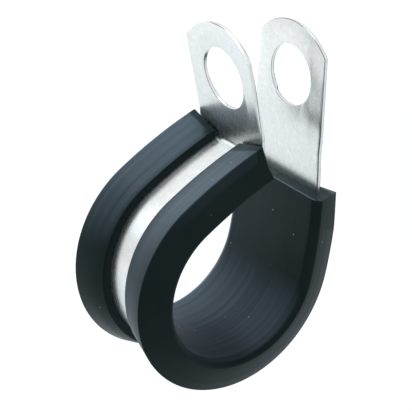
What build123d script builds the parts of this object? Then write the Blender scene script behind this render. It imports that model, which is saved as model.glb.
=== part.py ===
from build123d import *
from math import atan2, cos, radians, sin, sqrt, tan
import os

# Rubber-lined pipe clip, shown open as it is before a pipe goes in.
# One steel strip is bent into a loop with a straight leg and two ears, and a
# rubber profile wraps the strip along the loop. Millimetres, +Z towards the
# ears, +Y along the pipe, and the origin on the pipe's axis.

# Strip
strip_width = 13.0
strip_thickness = 0.5
strip_edge_chamfer = 0.08

# Loop, measured on the middle of the strip's thickness
loop_radius = 11.93
right_side_radius = 12.6
right_leg_radius = 61.2
left_arm_radius = 55.2

# Direction of the strip at the end of each bend, in degrees from its lowest point
right_loop_turn = 38.3
right_side_turn = 72.6
right_leg_turn = 87.2
left_loop_turn = 153.1
left_arm_turn = 164.8

# Ears: each one leans away from the other by its splay, and a short twisted
# root turns both of them so that their rear edges are the closer ones
right_ear_splay = 5.7
left_ear_splay = 4.1
right_ear_bend_radius = 14.0
left_ear_bend_radius = 0.82
ear_twist = 1.3
ear_root_length = 2.5
ear_length = 16.0
ear_end_radius = 8.35
hole_diameter = 8.1
hole_height = 8.8

# Rubber profile, measured from the strip that it holds
rubber_clearance = 0.04
web_thickness = 1.75
flange_thickness = 2.45
lip_thickness = 1.1
side_wall_inner = 2.6
side_wall_outer = 0.72
front_lip_reach = 4.29
rear_lip_reach = 3.68
web_bevel_width = 1.3
web_bevel_height = 0.7
web_corner_chamfer = 0.25
flange_corner_chamfer = 0.12
lip_corner_chamfer = 0.1

# Ends of the rubber: the flanges run out thinner along the leg, and are cut on
# a slant at the arm
right_end_turn = 83.0
right_end_taper_length = 10.0
right_end_taper = 0.63
left_end_reach = 0.1
left_end_slant = 15.0


class Station:
    """A place on the strip's middle line, with the direction of travel in degrees."""

    def __init__(self, side, x, z, turn):
        self.side = side
        self.x = x
        self.z = z
        self.turn = turn

    def travel(self):
        angle = radians(self.turn)
        return Vector(self.side * cos(angle), 0, sin(angle))

    def outward(self):
        angle = radians(self.turn)
        return Vector(self.side * sin(angle), 0, -cos(angle))

    def point(self):
        return Vector(self.side * self.x, 0, self.z)

    def plane(self, twist=0):
        """Cross-section plane: local X points out of the loop, local Z along the strip."""
        turned = self.outward().rotate(Axis(Vector(), self.travel()), twist)
        return Plane(origin=self.point(), x_dir=turned, z_dir=self.travel())

    def after_arc(self, radius, new_turn):
        """Station at the end of an arc. The arc bends inwards when the turn grows."""
        bend = 1 if new_turn > self.turn else -1
        centre_x = self.x - bend * radius * sin(radians(self.turn))
        centre_z = self.z + bend * radius * cos(radians(self.turn))
        x = centre_x + bend * radius * sin(radians(new_turn))
        z = centre_z - bend * radius * cos(radians(new_turn))
        return Station(self.side, x, z, new_turn)

    def after_line(self, length):
        x = self.x + length * cos(radians(self.turn))
        z = self.z + length * sin(radians(self.turn))
        return Station(self.side, x, z, self.turn)


def carry_round(section, start, radius, new_turn):
    """Solid of a section carried from a station round an arc of the strip."""
    bend = 1 if new_turn > start.turn else -1
    plane = start.plane()
    centre = start.point() - start.outward() * (bend * radius)
    axis = Axis(origin=centre, direction=plane.y_dir * -bend)
    return revolve(plane * section, axis, abs(new_turn - start.turn))


def carry_along(section, start, length):
    """Solid of a section carried straight on from a station."""
    return extrude(start.plane() * section, amount=length)


def strip_section():
    """Rolled strip, a flat rectangle with eased edges."""
    with BuildSketch() as section:
        Rectangle(strip_thickness, strip_width)
        chamfer(section.vertices(), strip_edge_chamfer)
    return section.sketch


def ear(section, start):
    """Ear from the end of its bend: a twisted root, then a flat plate."""
    foot = start.after_line(ear_root_length).plane(start.side * ear_twist)
    root = loft([start.plane() * section, foot * section], ruled=True)
    return root + ear_plate(foot)


def ear_plate(foot):
    """Flat plate from the root of an ear: round-ended, with one round hole."""
    half_width = strip_width / 2
    length = ear_length - ear_root_length
    corner_height = length - ear_end_radius + sqrt(ear_end_radius**2 - half_width**2)
    with BuildSketch() as outline:
        with BuildLine():
            Line((-half_width, 0), (-half_width, corner_height))
            ThreePointArc((-half_width, corner_height), (0, length), (half_width, corner_height))
            Line((half_width, corner_height), (half_width, 0))
            Line((half_width, 0), (-half_width, 0))
        make_face()
        with Locations((0, hole_height - ear_root_length)):
            Circle(hole_diameter / 2, mode=Mode.SUBTRACT)
    middle = Plane(origin=foot.origin, x_dir=foot.y_dir, z_dir=foot.x_dir)
    plate = extrude(middle * outline.sketch, amount=strip_thickness / 2, both=True)
    broad_faces = plate.faces().sort_by(SortBy.AREA)[-2:]
    outer_edges = [edge for face in broad_faces for edge in face.outer_wire().edges()]
    eased_edges = [edge for edge in outer_edges if (edge.center() - foot.origin).length > strip_thickness]
    return chamfer(eased_edges, strip_edge_chamfer)


def corners_at(sketch, x):
    return [corner for corner in sketch.vertices() if abs(corner.X - x) < 1e-6]


def rubber_section(side):
    """Rubber profile: a web, two side walls and two flanges over the strip's edges."""
    rear = side
    front = -side
    half_width = strip_width / 2
    strip_face = strip_thickness / 2
    web_face = -strip_face - web_thickness
    flange_face = strip_face + flange_thickness
    lip_face = strip_face + lip_thickness
    pocket_face = strip_face + rubber_clearance
    pocket_edge = half_width + rubber_clearance
    web_edge = half_width + side_wall_inner
    flange_edge = half_width + side_wall_outer
    wall_slope = (web_edge - flange_edge) / (flange_face - web_face)
    bevel_face = web_face + web_bevel_height
    bevel_edge = web_edge - wall_slope * web_bevel_height
    seat_edge = web_edge - web_bevel_width
    front_lip = half_width - front_lip_reach
    rear_lip = half_width - rear_lip_reach
    with BuildSketch() as section:
        with BuildLine():
            Polyline(
                (web_face, rear * seat_edge),
                (bevel_face, rear * bevel_edge),
                (flange_face, rear * flange_edge),
                (lip_face, rear * rear_lip),
                (pocket_face, rear * rear_lip),
                (pocket_face, rear * pocket_edge),
                (-pocket_face, rear * pocket_edge),
                (-pocket_face, front * pocket_edge),
                (pocket_face, front * pocket_edge),
                (pocket_face, front * front_lip),
                (lip_face, front * front_lip),
                (flange_face, front * flange_edge),
                (bevel_face, front * bevel_edge),
                (web_face, front * seat_edge),
                close=True,
            )
        make_face()
        chamfer(corners_at(section, web_face) + corners_at(section, bevel_face), web_corner_chamfer)
        chamfer(corners_at(section, flange_face), flange_corner_chamfer)
        chamfer(corners_at(section, lip_face), lip_corner_chamfer)
    return section.sketch


def loop_station(side, turn):
    """Station on the round of the loop, reckoned from the lowest point."""
    angle = radians(turn)
    return Station(side, loop_radius * sin(angle), -loop_radius * cos(angle), turn)


def leg_stations():
    """Where the right side of the loop, the leg, its ear's bend and the ear start."""
    side = loop_station(1, right_loop_turn)
    leg = side.after_arc(right_side_radius, right_side_turn)
    bend = leg.after_arc(right_leg_radius, right_leg_turn)
    ear_foot = bend.after_arc(right_ear_bend_radius, 90 - right_ear_splay)
    return side, leg, bend, ear_foot


def arm_stations():
    """Where the loop, the arm over the pipe, its ear's bend and the ear start."""
    loop = loop_station(-1, -right_loop_turn)
    arm = loop_station(-1, left_loop_turn)
    bend = arm.after_arc(left_arm_radius, left_arm_turn)
    ear_foot = bend.after_arc(left_ear_bend_radius, 90 - left_ear_splay)
    return loop, arm, bend, ear_foot


def steel_strip():
    section = strip_section()
    loop, arm, bend, ear_foot = arm_stations()
    strip = carry_round(section, loop, loop_radius, left_loop_turn)
    strip += carry_round(section, arm, left_arm_radius, left_arm_turn)
    strip += carry_round(section, bend, left_ear_bend_radius, ear_foot.turn)
    strip += ear(section, ear_foot)
    side, leg, bend, ear_foot = leg_stations()
    strip += carry_round(section, side, right_side_radius, right_side_turn)
    strip += carry_round(section, leg, right_leg_radius, right_leg_turn)
    strip += carry_round(section, bend, right_ear_bend_radius, ear_foot.turn)
    strip += ear(section, ear_foot)
    return strip


def rubber_liner():
    loop, arm, bend, ear_foot = arm_stations()
    section = rubber_section(loop.side)
    liner = carry_round(section, loop, loop_radius, left_loop_turn)
    liner += carry_round(section, arm, left_arm_radius, left_arm_turn)
    liner += carry_along(section, bend, left_end_reach)
    liner += flange_tips(section, bend)
    side, leg, bend, ear_foot = leg_stations()
    section = rubber_section(side.side)
    liner += carry_round(section, side, right_side_radius, right_side_turn)
    liner += carry_round(section, leg, right_leg_radius, right_end_turn)
    return liner - taper_wedges(leg.after_arc(right_leg_radius, right_end_turn))


def flange_tips(section, bend):
    """The flanges run on past the web, cut back so that they lie along the ear."""
    end = bend.after_line(left_end_reach)
    pocket_face = strip_thickness / 2 + rubber_clearance
    flange_face = strip_thickness / 2 + flange_thickness
    tip_length = (flange_face - pocket_face) * tan(radians(left_end_slant))
    tips = carry_along(section, end, tip_length)
    wedge = Plane(origin=end.point(), x_dir=end.outward(), z_dir=end.plane().y_dir)
    with BuildSketch() as side_view:
        with BuildLine():
            Polyline(
                (pocket_face, 0),
                (flange_face, 0),
                (flange_face, -tip_length),
                close=True,
            )
        make_face()
    return tips & extrude(wedge * side_view.sketch, amount=strip_width, both=True)


def taper_wedges(end):
    """Wedges that plane the outsides of the flanges down towards an end."""
    corner_edge = strip_width / 2 + side_wall_outer
    flange_face = strip_thickness / 2 + flange_thickness
    wedges = []
    for side, reach in ((1, rear_lip_reach), (-1, front_lip_reach)):
        slope = atan2(flange_thickness - lip_thickness, side_wall_outer + reach)
        corner = end.point() + end.outward() * flange_face + Vector(0, side * corner_edge, 0)
        across = Vector(0, -side * cos(slope), 0) - end.outward() * sin(slope)
        with BuildSketch() as side_view:
            with BuildLine():
                Polyline(
                    (-right_end_taper_length, 0),
                    (0, right_end_taper),
                    (0, -right_end_taper),
                    close=True,
                )
            make_face()
        wedge = Plane(origin=corner, x_dir=end.travel(), z_dir=across)
        wedges.append(extrude(wedge * side_view.sketch, amount=strip_width / 2, both=True))
    return wedges


os.makedirs("parts", exist_ok=True)
export_step(steel_strip(), "parts/steel_strip.step")
export_step(rubber_liner(), "parts/rubber_liner.step")
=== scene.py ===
from math import atan2, cos, degrees, radians, sin, sqrt, tan
import bpy
from mathutils import Matrix, Vector


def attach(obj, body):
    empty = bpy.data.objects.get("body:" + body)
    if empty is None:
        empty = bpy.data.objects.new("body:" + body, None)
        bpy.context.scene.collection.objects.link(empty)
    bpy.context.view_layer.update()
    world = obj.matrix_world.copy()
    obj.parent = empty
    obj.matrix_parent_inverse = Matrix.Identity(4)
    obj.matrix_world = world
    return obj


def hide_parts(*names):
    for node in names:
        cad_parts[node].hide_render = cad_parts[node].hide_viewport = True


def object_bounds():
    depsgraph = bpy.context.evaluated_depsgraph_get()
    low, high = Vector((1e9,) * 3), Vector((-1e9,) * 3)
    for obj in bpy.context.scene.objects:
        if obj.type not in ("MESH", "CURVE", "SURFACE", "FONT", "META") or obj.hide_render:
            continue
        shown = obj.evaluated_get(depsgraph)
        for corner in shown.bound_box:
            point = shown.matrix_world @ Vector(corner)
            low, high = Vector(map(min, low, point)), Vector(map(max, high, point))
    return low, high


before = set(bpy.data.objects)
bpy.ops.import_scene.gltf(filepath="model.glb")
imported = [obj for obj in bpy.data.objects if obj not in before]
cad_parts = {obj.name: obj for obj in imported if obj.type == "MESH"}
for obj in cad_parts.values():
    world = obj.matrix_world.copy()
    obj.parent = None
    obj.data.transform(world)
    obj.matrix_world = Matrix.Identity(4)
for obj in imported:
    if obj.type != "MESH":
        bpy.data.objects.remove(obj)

cad_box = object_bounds()


# The steel strip is one length of rolled steel, pierced near both ends and
# bright zinc plated. It is bent into a straight leg, a loop round the pipe,
# an arm over the pipe and two ears that the bolt draws together.
strip_width = 0.013
strip_thickness = 0.0005
strip_columns = 26
strip_edge_bevel = 0.00009
strip_edge_angle = 50
loop_radius = 0.01193
right_side_radius = 0.0126
right_leg_radius = 0.0612
right_ear_bend_radius = 0.014
left_arm_radius = 0.0552
left_ear_bend_radius = 0.00082
right_loop_turn = 38.3
right_side_turn = 72.6
right_leg_turn = 87.2
left_loop_turn = 153.1
left_arm_turn = 164.8
right_ear_turn = 84.3
left_ear_turn = 85.9
ear_twist = 1.3
ear_root_length = 0.0025
ear_length = 0.016
ear_end_radius = 0.00835
hole_radius = 0.00405
hole_height = 0.0088
hole_facets = 72
seam_gap = 1e-7
tolerance = 1e-6
zinc_bright = (0.77, 0.79, 0.78, 1.0)
zinc_dull = (0.68, 0.70, 0.70, 1.0)
zinc_corner = (0.20, 0.22, 0.25, 1.0)
zinc_corner_depth = strip_thickness * 0.4
zinc_corner_band = strip_thickness * 0.08
zinc_roughness = (0.26, 0.30)
zinc_spangle_range = (0.25, 0.75)
grain_range = (0.3, 0.7)
zinc_grain_strength = 0.022
zinc_grain_depth = 0.00002


def travel(side, turn):
    """Direction of the strip, away from its lowest point."""
    return Vector((side * cos(radians(turn)), 0, sin(radians(turn))))


def outward(side, turn):
    return Vector((side * sin(radians(turn)), 0, -cos(radians(turn))))


class Bend:
    """One arc of the strip's middle line, reckoned away from its lowest point."""

    def __init__(self, side, start, radius, turn, new_turn):
        self.inward = 1 if new_turn > turn else -1
        self.side = side
        self.radius = radius
        self.turn = turn
        self.new_turn = new_turn
        self.centre = start - outward(side, turn) * radius * self.inward
        self.end = self.at(new_turn)
        self.length = radius * radians(abs(new_turn - turn))

    def at(self, turn):
        return self.centre + outward(self.side, turn) * self.radius * self.inward


lowest = Vector((0, 0, -loop_radius))
right_loop = Bend(1, lowest, loop_radius, 0, right_loop_turn)
right_side = Bend(1, right_loop.end, right_side_radius, right_loop_turn, right_side_turn)
right_leg = Bend(1, right_side.end, right_leg_radius, right_side_turn, right_leg_turn)
right_root = Bend(1, right_leg.end, right_ear_bend_radius, right_leg_turn, right_ear_turn)
left_loop = Bend(-1, lowest, loop_radius, 0, left_loop_turn)
left_arm = Bend(-1, left_loop.end, left_arm_radius, left_loop_turn, left_arm_turn)
left_root = Bend(-1, left_arm.end, left_ear_bend_radius, left_arm_turn, left_ear_turn)


def carry_round(bend, degrees_inward, steps):
    """Spins the selected section round a bend, from the leg's ear towards the arm's ear."""
    bpy.ops.mesh.spin(
        steps=steps,
        angle=radians(-degrees_inward),
        center=bend.centre,
        axis=(0, 1, 0),
    )


def carry_along(direction, length):
    bpy.ops.mesh.extrude_region_move(TRANSFORM_OT_translate={"value": direction * length})


def finish_mesh(piece, sharp_angle):
    """Joins the seams, turns the faces outwards and smooths all but the sharp edges."""
    bpy.ops.object.select_all(action="DESELECT")
    piece.select_set(True)
    bpy.context.view_layer.objects.active = piece
    bpy.ops.object.mode_set(mode="EDIT")
    bpy.ops.mesh.select_all(action="SELECT")
    bpy.ops.mesh.remove_doubles(threshold=seam_gap)
    bpy.ops.mesh.normals_make_consistent(inside=False)
    bpy.ops.object.mode_set(mode="OBJECT")
    bpy.ops.object.shade_smooth_by_angle(angle=radians(sharp_angle))


def place_on_strip(point):
    """Distance along the strip from its lowest point, and distance out of its middle line."""
    overrun = 0.01
    best = None
    for bends in ((right_loop, right_side, right_leg, right_root), (left_loop, left_arm, left_root)):
        side = bends[0].side
        along = 0.0
        for bend in bends:
            arm = Vector((point.x - bend.centre.x, 0, point.z - bend.centre.z))
            facing = arm * bend.inward
            turn = degrees(atan2(side * facing.x, -facing.z))
            share = (turn - bend.turn) / (bend.new_turn - bend.turn)
            if -overrun <= share <= 1 + overrun:
                out = (arm.length - bend.radius) * bend.inward
                if best is None or abs(out) < abs(best[1]):
                    best = (side * (along + share * bend.length), out)
            along += bend.length
        ear = point - bends[-1].end
        height = ear.dot(travel(side, bends[-1].new_turn))
        out = ear.dot(outward(side, bends[-1].new_turn))
        if height >= 0 and (best is None or abs(out) < abs(best[1])):
            best = (side * (along + height), out)
    return best or (0.0, 0.0)


def record_strip_place(piece):
    """Stores each point's place along, across and out of the strip, for the grain to follow."""
    place = piece.data.attributes.new("strip_place", "FLOAT_VECTOR", "POINT")
    for point, stored in zip(piece.data.vertices, place.data):
        along, out = place_on_strip(point.co)
        stored.vector = (along, point.co.y, out)


def cut_away(piece, tool):
    """Takes a tool's shape out of a piece, and the tool itself away."""
    cut = piece.modifiers.new("cut", "BOOLEAN")
    cut.operation = "DIFFERENCE"
    cut.object = tool
    cut.solver = "EXACT"
    bpy.context.view_layer.objects.active = piece
    bpy.ops.object.modifier_apply(modifier=cut.name)
    bpy.data.objects.remove(tool)


def pierce(piece, root):
    """Punches the bolt hole through an ear."""
    bpy.ops.object.select_all(action="DESELECT")
    bpy.ops.mesh.primitive_cylinder_add(
        vertices=hole_facets,
        radius=hole_radius,
        depth=strip_thickness * 6,
        location=root.end + travel(root.side, root.new_turn) * hole_height,
        rotation=outward(root.side, root.new_turn).to_track_quat("Z", "Y").to_euler(),
    )
    cut_away(piece, bpy.context.object)


def twist_ear(piece, root):
    """Turns an ear about its own length, which twists the short root below it."""
    upward = travel(root.side, root.new_turn)
    twist = Matrix.Rotation(radians(root.side * ear_twist), 3, upward)
    for point in piece.data.vertices:
        if (point.co - root.end).dot(upward) > ear_root_length - tolerance:
            point.co = root.end + twist @ (point.co - root.end)


bpy.ops.object.select_all(action="DESELECT")
bpy.ops.mesh.primitive_grid_add(
    x_subdivisions=1,
    y_subdivisions=strip_columns,
    size=1,
    location=right_root.end + travel(1, right_ear_turn) * ear_length,
    rotation=(0, radians(90 - right_ear_turn), 0),
)
strip = bpy.context.object
strip.name = "formed_strip"
strip.scale = (strip_thickness, strip_width, 1)
bpy.ops.object.transform_apply(location=True, rotation=True, scale=True)
bpy.ops.object.mode_set(mode="EDIT")
bpy.ops.mesh.select_all(action="SELECT")
carry_along(travel(1, right_ear_turn), ear_root_length - ear_length)
carry_along(travel(1, right_ear_turn), -ear_root_length)
carry_round(right_root, right_ear_turn - right_leg_turn, steps=3)
carry_round(right_leg, right_leg_turn - right_side_turn, steps=10)
carry_round(right_side, right_side_turn - right_loop_turn, steps=20)
carry_round(right_loop, right_loop_turn + left_loop_turn, steps=100)
carry_round(left_arm, left_arm_turn - left_loop_turn, steps=8)
carry_round(left_root, left_ear_turn - left_arm_turn, steps=12)
carry_along(travel(-1, left_ear_turn), ear_root_length)
carry_along(travel(-1, left_ear_turn), ear_length - ear_root_length)
bpy.ops.object.mode_set(mode="OBJECT")

# Both ends of the strip are cropped to a shallow round
for root in (right_root, left_root):
    upward = travel(root.side, root.new_turn)
    for point in strip.data.vertices:
        if (point.co - root.end).dot(upward) > ear_length - tolerance:
            point.co -= upward * (ear_end_radius - sqrt(ear_end_radius**2 - point.co.y**2))

eased = strip.modifiers.new("eased_edges", "BEVEL")
eased.width = strip_edge_bevel
eased.segments = 2
eased.limit_method = "ANGLE"
eased.angle_limit = radians(strip_edge_angle)
bpy.context.view_layer.objects.active = strip
bpy.ops.object.modifier_apply(modifier=eased.name)
for root in (right_root, left_root):
    pierce(strip, root)
record_strip_place(strip)
for root in (right_root, left_root):
    twist_ear(strip, root)
finish_mesh(strip, sharp_angle=35)
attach(strip, "root")
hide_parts("steel_strip")


def new_material(name):
    material = bpy.data.materials.new(name)
    material.use_nodes = True
    return material, material.node_tree.nodes, material.node_tree.links


def noise_group(name, inputs):
    """Shader group with the given number inputs and one grey pattern as its output."""
    group = bpy.data.node_groups.new(name, "ShaderNodeTree")
    for each in inputs:
        group.interface.new_socket(each, in_out="INPUT", socket_type="NodeSocketFloat")
    group.interface.new_socket("Pattern", in_out="OUTPUT", socket_type="NodeSocketFloat")
    nodes, links = group.nodes, group.links
    given = nodes.new("NodeGroupInput")
    noise = nodes.new("ShaderNodeTexNoise")
    links.new(given.outputs["Detail"], noise.inputs["Detail"])
    links.new(noise.outputs["Fac"], nodes.new("NodeGroupOutput").inputs["Pattern"])
    return group, given, noise


# Grain drawn out along the strip, for the rolled steel and the extruded rubber
drawn_grain, given, noise = noise_group("drawn_grain", ("Along", "Across", "Detail"))
place = drawn_grain.nodes.new("ShaderNodeAttribute")
place.attribute_name = "strip_place"
scales = drawn_grain.nodes.new("ShaderNodeCombineXYZ")
drawn_grain.links.new(given.outputs["Along"], scales.inputs["X"])
drawn_grain.links.new(given.outputs["Across"], scales.inputs["Y"])
drawn_grain.links.new(given.outputs["Across"], scales.inputs["Z"])
stretch = drawn_grain.nodes.new("ShaderNodeMapping")
drawn_grain.links.new(place.outputs["Vector"], stretch.inputs["Vector"])
drawn_grain.links.new(scales.outputs["Vector"], stretch.inputs["Scale"])
drawn_grain.links.new(stretch.outputs["Vector"], noise.inputs["Vector"])
noise.inputs["Scale"].default_value = 1.0

# Patches that run in no direction
mottle, given, noise = noise_group("mottle", ("Scale", "Detail"))
place = mottle.nodes.new("ShaderNodeTexCoord")
mottle.links.new(place.outputs["Object"], noise.inputs["Vector"])
mottle.links.new(given.outputs["Scale"], noise.inputs["Scale"])


def pattern(nodes, group, **values):
    """Places a pattern group in a material with its own values."""
    placed = nodes.new("ShaderNodeGroup")
    placed.node_tree = group
    for name, value in values.items():
        placed.inputs[name].default_value = value
    return placed.outputs["Pattern"]


def spread(nodes, links, source, useful_range, to=(0, 1)):
    """Stretches a mask's useful range to the two given values."""
    spread_range = nodes.new("ShaderNodeMapRange")
    spread_range.inputs["From Min"].default_value = useful_range[0]
    spread_range.inputs["From Max"].default_value = useful_range[1]
    spread_range.inputs["To Min"].default_value = to[0]
    spread_range.inputs["To Max"].default_value = to[1]
    links.new(source, spread_range.inputs["Value"])
    return spread_range.outputs["Result"]


def blend_colours(nodes, links, mask, first, second):
    """Goes from a first colour, which may be another node's output, to a second one."""
    mix = nodes.new("ShaderNodeMix")
    mix.data_type = "RGBA"
    if isinstance(first, bpy.types.NodeSocket):
        links.new(first, mix.inputs["A"])
    else:
        mix.inputs["A"].default_value = first
    mix.inputs["B"].default_value = second
    links.new(mask, mix.inputs["Factor"])
    return mix.outputs["Result"]


def raise_grain(nodes, links, surface, grain, strength, depth):
    """Gives a surface the relief of its grain."""
    bump = nodes.new("ShaderNodeBump")
    bump.inputs["Strength"].default_value = strength
    bump.inputs["Distance"].default_value = depth
    links.new(grain, bump.inputs["Height"])
    links.new(bump.outputs["Normal"], surface.inputs["Normal"])


def out_of_strip(nodes, links):
    """Distance out of the strip's middle line, as a mask's source."""
    place = nodes.new("ShaderNodeAttribute")
    place.attribute_name = "strip_place"
    parts = nodes.new("ShaderNodeSeparateXYZ")
    links.new(place.outputs["Vector"], parts.inputs["Vector"])
    return parts.outputs["Z"]


def eased_corners(nodes, links):
    """Mask of the strip's eased corners and of the rims of its holes, which are coloured a darker bluish
    grey.
    """
    distance = nodes.new("ShaderNodeMath")
    distance.operation = "ABSOLUTE"
    links.new(out_of_strip(nodes, links), distance.inputs[0])
    corner = nodes.new("ShaderNodeMath")
    corner.operation = "COMPARE"
    corner.inputs[1].default_value = zinc_corner_depth
    corner.inputs[2].default_value = zinc_corner_band
    links.new(distance.outputs["Value"], corner.inputs[0])
    return corner.outputs["Value"]


def zinc_plate():
    material, nodes, links = new_material("zinc_plate")
    surface = nodes["Principled BSDF"]
    surface.inputs["Metallic"].default_value = 1.0
    rolled = pattern(nodes, drawn_grain, Along=700, Across=3600, Detail=4)
    spangle = pattern(nodes, mottle, Scale=1500, Detail=6)
    shade = spread(nodes, links, spangle, zinc_spangle_range)
    plating = blend_colours(nodes, links, shade, zinc_bright, zinc_dull)
    edged = blend_colours(nodes, links, eased_corners(nodes, links), plating, zinc_corner)
    links.new(edged, surface.inputs["Base Color"])
    links.new(spread(nodes, links, rolled, grain_range, to=zinc_roughness), surface.inputs["Roughness"])
    raise_grain(nodes, links, surface, rolled, zinc_grain_strength, zinc_grain_depth)
    return material


strip.data.materials.clear()
strip.data.materials.append(zinc_plate())


# The liner is one length of extruded black rubber. Its web lies inside the
# loop against the pipe, a wall covers each edge of the strip, and two outer
# flanges hook over the steel and leave a slot between their lips.
rubber_clearance = 0.00004
web_thickness = 0.00175
flange_thickness = 0.00245
lip_thickness = 0.0011
side_wall_inner = 0.0026
side_wall_outer = 0.00072
front_lip_reach = 0.00429
rear_lip_reach = 0.00368
web_bevel_width = 0.0013
web_bevel_height = 0.0007
web_corner_setback = 0.00034
flange_corner_setback = 0.00014
lip_corner_setback = 0.00012
right_end_turn = 83.0
right_end_taper_length = 0.01
right_end_taper = 0.00063
right_end_overrun = 0.1
left_end_reach = 0.0001
left_end_slant = 15.0
rubber_black = (0.0062, 0.0125, 0.0115, 1.0)
rubber_grey = (0.0092, 0.0165, 0.0155, 1.0)
rubber_patch_range = (0.35, 0.65)
rubber_specular = 0.07
rubber_specular_tint = (0.60, 0.85, 1.0, 1.0)
rubber_sheen = 0.12
rubber_sheen_roughness = 0.5
rubber_sheen_tint = (0.60, 0.82, 1.0, 1.0)
rubber_roughness = (0.36, 0.50)
rubber_grain_strength = 0.4
rubber_grain_depth = 0.00003
# Painted light: faces that look up, outside the slot, are painted a pale bluish grey for the light from
# above, streaked along the grain.
painted_light_slope_range = (0.35, 1.05)
painted_light_flange_range = (0.0012, 0.0015)
painted_light_seat_range = (-0.0016, -0.0019)
painted_light_streaks = (0.6, 1.2)
painted_top_light_colour = (0.076, 0.100, 0.124, 1.0)
dust_colour = (0.30, 0.34, 0.35, 1.0)
dust_share = 0.28
dust_cells = 620
speck_range = (0.07, 0.042)

strip_face = strip_thickness / 2
half_width = strip_width / 2
web_face = -strip_face - web_thickness
flange_face = strip_face + flange_thickness
lip_face = strip_face + lip_thickness
pocket_face = strip_face + rubber_clearance
pocket_edge = half_width + rubber_clearance
web_edge = half_width + side_wall_inner
flange_edge = half_width + side_wall_outer
wall_slope = (web_edge - flange_edge) / (flange_face - web_face)
bevel_face = web_face + web_bevel_height
bevel_edge = web_edge - wall_slope * web_bevel_height
seat_edge = web_edge - web_bevel_width
front_lip = half_width - front_lip_reach
rear_lip = half_width - rear_lip_reach
profile_corners = (
    (web_face, seat_edge),
    (bevel_face, bevel_edge),
    (flange_face, flange_edge),
    (lip_face, rear_lip),
    (pocket_face, rear_lip),
    (pocket_face, pocket_edge),
    (-pocket_face, pocket_edge),
    (-pocket_face, -pocket_edge),
    (pocket_face, -pocket_edge),
    (pocket_face, -front_lip),
    (lip_face, -front_lip),
    (flange_face, -flange_edge),
    (bevel_face, -bevel_edge),
    (web_face, -seat_edge),
)
rubber_start = right_leg.at(right_end_turn)


def round_corners(piece, start, out, setback, segments):
    """Rounds the profile's corners that lie at one distance out of the strip."""
    bpy.ops.mesh.select_all(action="DESELECT")
    bpy.ops.object.mode_set(mode="OBJECT")
    across = outward(1, right_end_turn)
    for point in piece.data.vertices:
        point.select = abs((point.co - start).dot(across) - out) < seam_gap
    bpy.ops.object.mode_set(mode="EDIT")
    bpy.ops.mesh.bevel(affect="VERTICES", offset=setback, segments=segments)


def plane_flange(piece, side, lip_reach):
    """Planes the outside of a flange down towards the liner's end on the leg, and just past it."""
    slope = atan2(flange_thickness - lip_thickness, side_wall_outer + lip_reach)
    inward = Vector((0, side * sin(slope), 0)) - outward(1, right_end_turn) * cos(slope)
    corner = rubber_start + outward(1, right_end_turn) * flange_face + Vector((0, side * flange_edge, 0))
    run = (travel(1, right_end_turn) * right_end_taper_length + inward * right_end_taper).normalized()
    across = inward.cross(run).normalized()
    planed = run.cross(across)
    end = corner + inward * right_end_taper
    middle = end - run * right_end_taper_length * (0.5 - right_end_overrun)
    bpy.ops.object.select_all(action="DESELECT")
    bpy.ops.mesh.primitive_cube_add(
        size=1,
        scale=(right_end_taper_length, strip_width, web_thickness),
        location=middle - planed * web_thickness / 2,
        rotation=Matrix((run, across, planed)).transposed().to_euler(),
    )
    cut_away(piece, bpy.context.object)


bpy.ops.object.select_all(action="DESELECT")
bpy.ops.mesh.primitive_circle_add(vertices=len(profile_corners), radius=half_width, fill_type="NGON")
liner = bpy.context.object
liner.name = "extruded_liner"
for point, (out, across) in zip(liner.data.vertices, profile_corners):
    point.co = rubber_start + outward(1, right_end_turn) * out + Vector((0, across, 0))
bpy.ops.object.mode_set(mode="EDIT")
bpy.ops.mesh.select_mode(type="VERT")
round_corners(liner, rubber_start, web_face, web_corner_setback, 4)
round_corners(liner, rubber_start, bevel_face, web_corner_setback, 4)
round_corners(liner, rubber_start, flange_face, flange_corner_setback, 3)
round_corners(liner, rubber_start, lip_face, lip_corner_setback, 2)
bpy.ops.mesh.select_mode(type="FACE")
bpy.ops.mesh.select_all(action="SELECT")
carry_round(right_leg, right_end_turn - right_side_turn, steps=8)
carry_round(right_side, right_side_turn - right_loop_turn, steps=20)
carry_round(right_loop, right_loop_turn + left_loop_turn, steps=100)
carry_round(left_arm, left_arm_turn - left_loop_turn, steps=8)
carry_along(travel(-1, left_arm_turn), left_end_reach)

# The flanges' ends are cut on a slant so that they lie along the ear
arm_end = left_arm.end
bpy.ops.mesh.bisect(
    plane_co=arm_end + outward(-1, left_arm_turn) * pocket_face,
    plane_no=outward(-1, left_arm_turn),
    threshold=seam_gap,
)
bpy.ops.object.mode_set(mode="OBJECT")
for point in liner.data.vertices:
    reach = (point.co - arm_end).dot(travel(-1, left_arm_turn))
    out = (point.co - arm_end).dot(outward(-1, left_arm_turn))
    if abs(reach - left_end_reach) < tolerance and out > pocket_face:
        point.co += travel(-1, left_arm_turn) * (out - pocket_face) * tan(radians(left_end_slant))
plane_flange(liner, 1, rear_lip_reach)
plane_flange(liner, -1, front_lip_reach)
finish_mesh(liner, sharp_angle=32)
record_strip_place(liner)
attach(liner, "root")
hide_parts("rubber_liner")


def combine(nodes, links, operation, first, second):
    """Joins two masks, as by MULTIPLY or MAXIMUM."""
    joined = nodes.new("ShaderNodeMath")
    joined.operation = operation
    links.new(first, joined.inputs[0])
    links.new(second, joined.inputs[1])
    return joined.outputs["Value"]


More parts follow.
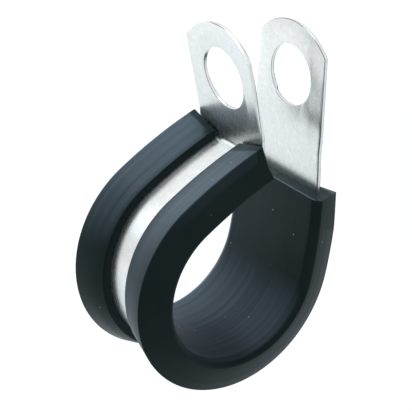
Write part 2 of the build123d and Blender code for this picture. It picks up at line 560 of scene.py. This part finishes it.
def dust_specks(nodes, links):
    """Mask of a few tiny specks: one in some of the cells of a cell pattern."""
    place = nodes.new("ShaderNodeTexCoord")
    cells = nodes.new("ShaderNodeTexVoronoi")
    cells.inputs["Scale"].default_value = dust_cells
    links.new(place.outputs["Object"], cells.inputs["Vector"])
    speck = spread(nodes, links, cells.outputs["Distance"], speck_range)
    chosen = nodes.new("ShaderNodeSeparateColor")
    links.new(cells.outputs["Color"], chosen.inputs["Color"])
    some = nodes.new("ShaderNodeMath")
    some.operation = "GREATER_THAN"
    some.inputs[1].default_value = 1 - dust_share
    links.new(chosen.outputs["Red"], some.inputs[0])
    return combine(nodes, links, "MULTIPLY", speck, some.outputs["Value"])


def upward_faces(nodes, links):
    """Mask of the faces that look up, where light from above is painted onto the rubber as a pale bluish
    grey.
    """
    facing = nodes.new("ShaderNodeNewGeometry")
    parts = nodes.new("ShaderNodeSeparateXYZ")
    links.new(facing.outputs["Normal"], parts.inputs["Vector"])
    return spread(nodes, links, parts.outputs["Z"], painted_light_slope_range)


def open_faces(nodes, links):
    """Mask of the faces outside the slot, on the flanges and on the seat, which keeps the painted top
    light off the slot's shaded walls.
    """
    out = out_of_strip(nodes, links)
    on_flanges = spread(nodes, links, out, painted_light_flange_range)
    on_seat = spread(nodes, links, out, painted_light_seat_range)
    return combine(nodes, links, "MAXIMUM", on_flanges, on_seat)


def black_rubber():
    material, nodes, links = new_material("black_rubber")
    surface = nodes["Principled BSDF"]
    surface.inputs["Specular IOR Level"].default_value = rubber_specular
    surface.inputs["Specular Tint"].default_value = rubber_specular_tint
    surface.inputs["Sheen Weight"].default_value = rubber_sheen
    surface.inputs["Sheen Roughness"].default_value = rubber_sheen_roughness
    surface.inputs["Sheen Tint"].default_value = rubber_sheen_tint
    streaks = pattern(nodes, drawn_grain, Along=25, Across=1500, Detail=5)
    patches = pattern(nodes, mottle, Scale=160, Detail=3)
    shade = spread(nodes, links, patches, rubber_patch_range)
    black = blend_colours(nodes, links, shade, rubber_black, rubber_grey)
    # Painted top light: a pale bluish grey on the upward faces outside the slot, streaked with the grain.
    top_light_mask = combine(nodes, links, "MULTIPLY", upward_faces(nodes, links), open_faces(nodes, links))
    painted_light_streaking = spread(nodes, links, streaks, grain_range, to=painted_light_streaks)
    painted_top_light = combine(nodes, links, "MULTIPLY", top_light_mask, painted_light_streaking)
    top_lit_black = blend_colours(nodes, links, painted_top_light, black, painted_top_light_colour)
    dusted = blend_colours(nodes, links, dust_specks(nodes, links), top_lit_black, dust_colour)
    links.new(dusted, surface.inputs["Base Color"])
    links.new(spread(nodes, links, streaks, grain_range, to=rubber_roughness), surface.inputs["Roughness"])
    raise_grain(nodes, links, surface, streaks, rubber_grain_strength, rubber_grain_depth)
    return material


liner.data.materials.clear()
liner.data.materials.append(black_rubber())


# The setting is a plain pale floor well below the clip, which its bolt would
# hold up, with a white sky and large soft lamps.
floor_drop = 0.09
floor_size = 6.0
floor_colour = (0.92, 0.92, 0.92, 1.0)
floor_roughness = 0.9
floor_lift = (0.04, 0.75)
floor_lift_radius = (0.25, 0.9)
sky_light = 0.25
sky_colour = (1.0, 1.0, 1.0, 1.0)
lamp_size = 0.4
lamp_colour = (0.92, 0.97, 1.0)
cool_lamp_colour = (0.72, 0.86, 1.0)
camera_azimuth = 33.38
camera_elevation = 28.95
camera_roll = -4.06
camera_distance = 0.2081
camera_right = 0.000403
camera_up = 0.007144
camera_lens = 142.5


def seen_rays(nodes, links):
    """One for rays from the camera, from gloss and through glass, and nothing for the rest."""
    path = nodes.new("ShaderNodeLightPath")
    either = combine(nodes, links, "MAXIMUM", path.outputs["Is Camera Ray"], path.outputs["Is Glossy Ray"])
    return combine(nodes, links, "MAXIMUM", either, path.outputs["Is Transmission Ray"])


def pale_floor():
    """White floor. It is lifted further out, where less of the lamps' light falls."""
    material, nodes, links = new_material("pale_floor")
    surface = nodes["Principled BSDF"]
    surface.inputs["Base Color"].default_value = floor_colour
    surface.inputs["Roughness"].default_value = floor_roughness
    surface.inputs["Specular IOR Level"].default_value = 0.0
    surface.inputs["Emission Color"].default_value = sky_colour
    place = nodes.new("ShaderNodeTexCoord")
    radius = nodes.new("ShaderNodeVectorMath")
    radius.operation = "LENGTH"
    links.new(place.outputs["Object"], radius.inputs["Vector"])
    lift = spread(nodes, links, radius.outputs["Value"], floor_lift_radius, to=floor_lift)
    seen_lift = combine(nodes, links, "MULTIPLY", seen_rays(nodes, links), lift)
    links.new(seen_lift, surface.inputs["Emission Strength"])
    return material


bpy.ops.object.select_all(action="DESELECT")
bpy.ops.mesh.primitive_plane_add(size=floor_size, location=(0, 0, cad_box[0][2] - floor_drop))
floor = bpy.context.object
floor.name = "floor"
floor.data.materials.append(pale_floor())

world = bpy.data.worlds.new("white_sky")
bpy.context.scene.world = world
world.use_nodes = True
sky_nodes, sky_links = world.node_tree.nodes, world.node_tree.links
sky = sky_nodes["Background"]
sky.inputs["Color"].default_value = sky_colour
sky_strength = sky_nodes.new("ShaderNodeMapRange")
sky_strength.inputs["To Min"].default_value = sky_light
sky_strength.inputs["To Max"].default_value = 1.0
sky_links.new(seen_rays(sky_nodes, sky_links), sky_strength.inputs["Value"])
sky_links.new(sky_strength.outputs["Result"], sky.inputs["Strength"])


def soft_lamp(name, place, power, colour):
    """A square lamp that faces the clip."""
    light = bpy.data.lights.new(name, "AREA")
    light.size = lamp_size
    light.energy = power
    light.color = colour
    lamp = bpy.data.objects.new(name, light)
    bpy.context.collection.objects.link(lamp)
    lamp.location = place
    lamp.rotation_euler = Vector(place).to_track_quat("Z", "Y").to_euler()


soft_lamp("top_lamp", place=(0.0, 0.14, 0.79), power=7.0, colour=lamp_colour)
soft_lamp("rear_lamp", place=(0.0, 0.78, 0.17), power=1.4, colour=lamp_colour)
soft_lamp("left_lamp", place=(-0.385, 0.53, 0.46), power=0.3, colour=cool_lamp_colour)

camera_turn = (
    Matrix.Rotation(radians(-camera_azimuth), 4, "Z")
    @ Matrix.Rotation(radians(90 - camera_elevation), 4, "X")
    @ Matrix.Rotation(radians(camera_roll), 4, "Z")
)
camera_data = bpy.data.cameras.new("camera")
camera_data.lens = camera_lens
camera_data.sensor_width = 36.0
camera_data.clip_start = 0.005
camera = bpy.data.objects.new("camera", camera_data)
bpy.context.collection.objects.link(camera)
camera.matrix_world = camera_turn @ Matrix.Translation((camera_right, camera_up, camera_distance))
bpy.context.scene.camera = camera

bpy.context.scene.view_settings.view_transform = "Standard"
